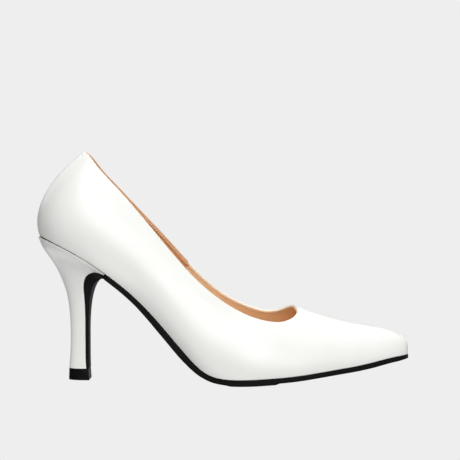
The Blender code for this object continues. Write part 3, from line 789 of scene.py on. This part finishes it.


# Dried contact cement with painted shade: dark brown for the cement and for the shade in the joint, dull, a
# little lumpy at 1 mm.
def cement_with_painted_shade():
    lump_size = 0.0010
    material, shader, places = start_material("dried_cement_painted_shade")
    lumps = add_node(
        material, "ShaderNodeTexNoise", {"Scale": 1 / lump_size}, {"Vector": places}
    ).outputs["Fac"]
    relief = add_node(
        material, "ShaderNodeBump", {"Strength": 0.4, "Distance": 0.0001}, {"Height": lumps}
    ).outputs["Normal"]
    material.node_tree.links.new(relief, shader.inputs["Normal"])
    # Dark brown: the cement's colour and the painted shade of the joint.
    shader.inputs["Base Color"].default_value = linear("#2C231B")
    shader.inputs["Roughness"].default_value = 0.7
    return material


make_piece(
    "seat_cement_painted_shade", make_mesh("seat_cement_painted_shade", cement_shade_rings, capped_loft(cement_shade_rings)),
    cement_with_painted_shade(),
)

# Outsole: a thin black leather sheet cemented under the feather line, thicker under the ball, that turns at
# the top of the breast and runs down the heel as a flap. Its edge is sanded round, dyed and waxed.
SOLE_EDGE = 0.0003
TURN_GAP = 0.0020
BELLY_POWER = 4
SOLE_TOP_ROUND = 0.00015
SOLE_LOW_ROUND = 0.0005
ROUND_STEPS = 5
# A section narrower than this many rounds, at the toe's tip, has smaller ones.
ROUND_ROOM = 6
SOLE_COLUMNS = 31
SOLE_STEPS = 16
# Rows from toe to heel: share of the length, thickness at the edge, and how much lower the middle hangs.
Sole = namedtuple("Sole", "along edge crown")
SOLE = (
    Sole(0.9985, 0.0020, 0.0000),
    Sole(0.9700, 0.0026, 0.0003),
    Sole(0.9000, 0.0029, 0.0005),
    Sole(0.7800, 0.0028, 0.0008),
    Sole(0.6500, 0.0029, 0.0009),
    Sole(0.6400, 0.0036, 0.0010),
    Sole(0.5900, 0.0036, 0.0013),
    Sole(0.5220, 0.0035, 0.0013),
    Sole(0.5120, 0.0031, 0.0009),
    Sole(0.4600, 0.0030, 0.0006),
    Sole(0.4000, 0.0038, 0.0004),
    Sole(0.3400, 0.0037, 0.0003),
    Sole(0.2800, 0.0031, 0.0002),
    Sole(0.2000, 0.0029, 0.0001),
)


def square_down(path):
    """Unit vectors in the side view, square to a path from toe to heel and out of the underside."""
    step = np.gradient(path, axis=0)
    normals = np.column_stack([-step[:, 2], np.zeros(len(step)), step[:, 0]])
    return normals / np.linalg.norm(normals, axis=1)[:, None]


# Round the sheet's section: share across, metres out from the side it is nearest to, metres down, and how
# much of the thickness is added. Two quarter circles round each side.
bend = np.linspace(0, np.pi / 2, ROUND_STEPS)
side_out = np.concatenate([SOLE_TOP_ROUND * (np.sin(bend) - 1), SOLE_LOW_ROUND * (np.cos(bend) - 1)])
side_down = np.concatenate([SOLE_TOP_ROUND * (1 - np.cos(bend)), SOLE_LOW_ROUND * (np.sin(bend) - 1)])
side_thick = np.repeat([0.0, 1.0], len(bend))
inner_span = np.linspace(0, 1, SOLE_COLUMNS)[1:-1]
flat_span = np.zeros(len(inner_span))
ring_share = np.concatenate([inner_span, np.ones(len(side_out)), inner_span[::-1], np.zeros(len(side_out))])
ring_out = np.concatenate([flat_span, side_out, flat_span, -side_out[::-1]])
ring_drop = np.concatenate([flat_span, side_down, flat_span, side_down[::-1]])
ring_thick = np.concatenate([flat_span, side_thick, flat_span + 1, side_thick[::-1]])

sole_lines = feather_line(np.linspace(0, BACK_ROW, BACK_ROW * SOLE_STEPS + 1))
before_turn = sole_lines[0][:, 0] > seat_outer[0, 0] + TURN_GAP
sole_sides = []
for side, line in zip((-1, 1), sole_lines):
    line = line[:, :3] - (0, 0, GAP)
    line[:, :2] += outward(line, side) * SOLE_EDGE
    sole_sides.append(line[before_turn])
left, right = sole_sides
sole_table = np.array(SOLE)[::-1]
thick = np.interp(left[:, 0] / LENGTH, sole_table[:, 0], sole_table[:, 1])[:, None, None]
hang = np.interp(left[:, 0] / LENGTH, sole_table[:, 0], sole_table[:, 2])[:, None, None]
belly = (1 - (2 * ring_share - 1) ** BELLY_POWER)[None, :, None]
top = left[:, None] + (right - left)[:, None] * ring_share[None, :, None]
low = top + square_down((left + right) / 2)[:, None] * (thick + hang * belly)
breast = heel_rings[RING_STEPS:]
flap_top = breast[:, :1] + (breast[:, -1:] - breast[:, :1]) * ring_share[None, :, None]
flap_top = flap_top + square_down(breast[:, 0])[:, None] * GAP
flap_low = flap_top.copy()
flap_low[..., ::2] = flap_face[RING_STEPS:, None]
top, low = np.concatenate([top, flap_top]), np.concatenate([low, flap_low])
cross = np.concatenate([right - left, breast[:, -1] - breast[:, 0]])
width = np.linalg.norm(cross, axis=1)[:, None]
cross = cross / np.where(width > 0, width, 1)
middle_column = SOLE_COLUMNS // 2
depth_way = low[:, middle_column] - top[:, middle_column]
depth_way = depth_way / np.linalg.norm(depth_way, axis=1)[:, None]
room = np.clip(width / (ROUND_ROOM * SOLE_LOW_ROUND), 0, 1)[:, :, None]
sole_rings = top + (low - top) * ring_thick[None, :, None]
sole_rings = sole_rings + cross[:, None] * (ring_out[None, :, None] * room)
sole_rings = sole_rings + depth_way[:, None] * (ring_drop[None, :, None] * room)
sole_rings[..., 2] = np.maximum(sole_rings[..., 2], 0.0)


# Vegetable-tanned sole leather dyed black and waxed: near black, satin, a little uneven by wear. The grit of
# its sanding, about 0.2 mm, is too fine to show and is drawn at 0.6 mm.
def black_sole_leather():
    grit_size, wear_size = 0.0006, 0.006
    material, shader, places = start_material("black_dyed_sole_leather")
    grit = add_node(
        material, "ShaderNodeTexNoise", {"Scale": 1 / grit_size, "Detail": 4.0}, {"Vector": places}
    ).outputs["Fac"]
    wear = add_node(
        material, "ShaderNodeTexNoise", {"Scale": 1 / wear_size, "Detail": 3.0}, {"Vector": places}
    ).outputs["Fac"]
    tint = add_node(
        material, "ShaderNodeMix", {6: linear("#090808"), 7: linear("#121010")}, {0: wear}, data_type="RGBA"
    ).outputs[2]
    gloss = add_node(material, "ShaderNodeMapRange", {3: 0.42, 4: 0.58}, {0: wear}).outputs[0]
    relief = add_node(
        material, "ShaderNodeBump", {"Strength": 0.2, "Distance": 0.00008}, {"Height": grit}
    ).outputs["Normal"]
    links = material.node_tree.links
    links.new(tint, shader.inputs["Base Color"])
    links.new(gloss, shader.inputs["Roughness"])
    links.new(relief, shader.inputs["Normal"])
    shader.inputs["IOR"].default_value = 1.28
    shader.inputs["Specular IOR Level"].default_value = 0.25
    return material


outsole = make_piece(
    "outsole_sheet", make_mesh("outsole_sheet", sole_rings, capped_loft(sole_rings)),
    black_sole_leather(),
)
outsole.data.set_sharp_from_angle(angle=np.radians(SHARP_ANGLE))
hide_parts("outsole")

# Top piece: a black rubber block pressed onto the heel's foot by its dowel, a little wider at the floor and
# rounded at its edges.
TOP_PIECE_HEIGHT = 0.0070
TOP_PIECE_SHARP = 35
FLAP_THICKNESS = 0.0015
# Levels from the heel down: share of the height, and spread of the foot's outline.
Level = namedtuple("Level", "height spread")
TOP_PIECE = (
    Level(1.000, 0.965),
    Level(0.985, 0.990),
    Level(0.960, 1.000),
    Level(0.100, 1.048),
    Level(0.050, 1.050),
    Level(0.015, 1.040),
    Level(0.000, 1.020),
)
foot = heel_rings[-1].copy()
foot_back, foot_front = foot[:, 0].min(), foot[:, 0].max()
foot[:, 0] = foot_back + (foot[:, 0] - foot_back) * (1 + FLAP_THICKNESS / (foot_front - foot_back))
foot_middle = np.append(foot[:, :2].mean(axis=0), 0)
levels = np.array(TOP_PIECE)
block_rings = foot_middle + (foot - foot_middle)[None] * levels[:, 1, None, None]
block_rings[..., 2] = (levels[:, 0] * TOP_PIECE_HEIGHT)[:, None]


# Moulded rubber: near black, satin, with the fine texture of its mould, 0.4 mm.
def black_rubber():
    texture_size = 0.0004
    material, shader, places = start_material("black_moulded_rubber")
    texture = add_node(
        material, "ShaderNodeTexNoise", {"Scale": 1 / texture_size, "Detail": 2.0}, {"Vector": places}
    ).outputs["Fac"]
    relief = add_node(
        material, "ShaderNodeBump", {"Strength": 0.25, "Distance": 0.00008}, {"Height": texture}
    ).outputs["Normal"]
    gloss = add_node(material, "ShaderNodeMapRange", {3: 0.26, 4: 0.40}, {0: texture}).outputs[0]
    material.node_tree.links.new(relief, shader.inputs["Normal"])
    material.node_tree.links.new(gloss, shader.inputs["Roughness"])
    shader.inputs["Base Color"].default_value = linear("#090A0B")
    shader.inputs["IOR"].default_value = 1.28
    shader.inputs["Specular IOR Level"].default_value = 0.35
    return material


top_piece = make_piece(
    "top_piece_block", make_mesh("top_piece_block", block_rings, capped_loft(block_rings)),
    black_rubber(),
)
top_piece.data.set_sharp_from_angle(angle=np.radians(TOP_PIECE_SHARP))
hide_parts("top_piece")

# Stage: a plain pale floor and a dome of the same paper, soft lights round the shoe, and the camera on its
# outer side, a little above it. Floor and dome are only seen: they give no light and no shade.
PAPER_COLOUR = "#EEEEEE"
FLOOR_HALF = 6.0
FLOOR_DROP = 0.0002
DOME_RADIUS = 8.0
DOME_RINGS = 25
DOME_SIDES = 49
paper = bpy.data.materials.new("pale_backdrop_paper")
paper.use_nodes = True
paper.node_tree.nodes.clear()
glow = add_node(paper, "ShaderNodeEmission", {"Color": linear(PAPER_COLOUR), "Strength": 1.0}).outputs[0]
add_node(paper, "ShaderNodeOutputMaterial", links={"Surface": glow})
square = np.array([(-1, -1), (1, -1), (1, 1), (-1, 1)]) * FLOOR_HALF
floor_points = np.column_stack([square, np.full(4, -FLOOR_DROP)])
rise, turn = np.meshgrid(
    np.linspace(-np.pi / 2, np.pi / 2, DOME_RINGS), np.linspace(0, 2 * np.pi, DOME_SIDES), indexing="ij"
)
dome_ways = np.stack([np.cos(rise) * np.cos(turn), np.cos(rise) * np.sin(turn), np.sin(rise)], axis=2)
for name, points, faces in (
    ("floor", floor_points, [(0, 1, 2, 3)]),
    ("backdrop", DOME_RADIUS * dome_ways, grid_faces(DOME_RINGS, DOME_SIDES)),
):
    sheet = bpy.data.objects.new(name, make_mesh(name, points, faces))
    bpy.context.scene.collection.objects.link(sheet)
    sheet.data.materials.append(paper)
    sheet.visible_diffuse = False
    sheet.visible_glossy = False
    sheet.visible_transmission = False
    sheet.visible_shadow = False


def turn_to(thing, place, aim):
    """Puts a camera or light at a place with its -Z axis towards the aim and its Y axis up."""
    ahead = (aim - place) / np.linalg.norm(aim - place)
    right = np.cross(ahead, (0, 0, 1))
    right /= np.linalg.norm(right)
    turn = np.eye(4)
    turn[:3, :3] = np.column_stack([right, np.cross(right, ahead), -ahead])
    turn[:3, 3] = place
    thing.matrix_world = turn.T.tolist()


# The room is dimmer behind the heel than in front of the toe: the world's strength runs between the two.
HEEL_SIDE, TOE_SIDE = 0.15, 0.50
world = bpy.data.worlds.new("soft_studio")
world.use_nodes = True
bpy.context.scene.world = world
background = world.node_tree.nodes["Background"]
background.inputs["Color"].default_value = linear("#FFFFFF")
ways = add_node(world, "ShaderNodeTexCoord").outputs["Generated"]
along_shoe = add_node(world, "ShaderNodeSeparateXYZ", links={0: ways}).outputs["X"]
strength = add_node(
    world, "ShaderNodeMapRange", {1: -1.0, 2: 1.0, 3: HEEL_SIDE, 4: TOE_SIDE}, {0: along_shoe}
).outputs[0]
world.node_tree.links.new(strength, background.inputs["Strength"])

# Round lit cloths about the shoe: degrees from the camera's side towards the toe, degrees up, and brightness.
# A cloth's energy is its brightness times pi times its area.
LIT_MIDDLE = np.array([0.0, 0.0, 0.06])
LIGHT_DISTANCE = 1.3
LIGHT_WIDTH = 0.95
Softbox = namedtuple("Softbox", "name azimuth elevation brightness")
SOFTBOXES = (
    Softbox("front_softbox", 0, 30, 1.9),
    Softbox("low_front_softbox", 20, 15, 1.4),
    Softbox("high_front_softbox", 0, 60, 2.0),
    Softbox("overhead_softbox", 0, 88, 1.8),
    Softbox("toe_softbox", 90, 60, 0.6),
    Softbox("heel_softbox", -90, 60, 0.3),
    Softbox("back_softbox", 180, 55, 2.4),
    Softbox("back_heel_softbox", 225, 30, 0.8),
    Softbox("floor_bounce", -20, -40, 1.8),
    Softbox("back_floor_bounce", 225, -40, 1.4),
)
for box in SOFTBOXES:
    light = bpy.data.lights.new(box.name, "AREA")
    light.shape = "DISK"
    light.size = LIGHT_WIDTH
    light.energy = box.brightness * np.pi ** 2 * (LIGHT_WIDTH / 2) ** 2
    lamp = bpy.data.objects.new(box.name, light)
    lamp.visible_camera = False
    bpy.context.scene.collection.objects.link(lamp)
    turn, rise = np.radians((box.azimuth, box.elevation))
    way = np.array([np.cos(rise) * np.sin(turn), -np.cos(rise) * np.cos(turn), np.sin(rise)])
    turn_to(lamp, LIT_MIDDLE + LIGHT_DISTANCE * way, LIT_MIDDLE)

# The camera's picture is square, and its focal length is given in pixels of that picture.
CAMERA_PLACE = np.array([0.0166, -0.8125, 0.1217])
CAMERA_AIM = np.array([0.0044, 0.0005, 0.0937])
HALF_WIDTH_PX = 230
FOCAL_PX = 1301
camera_data = bpy.data.cameras.new("camera")
camera_data.sensor_fit = "HORIZONTAL"
camera_data.angle = 2 * np.arctan(HALF_WIDTH_PX / FOCAL_PX)
camera_data.clip_start = 0.01
camera = bpy.data.objects.new("camera", camera_data)
bpy.context.scene.collection.objects.link(camera)
turn_to(camera, CAMERA_PLACE, CAMERA_AIM)
bpy.context.scene.camera = camera
bpy.context.scene.view_settings.view_transform = "Standard"
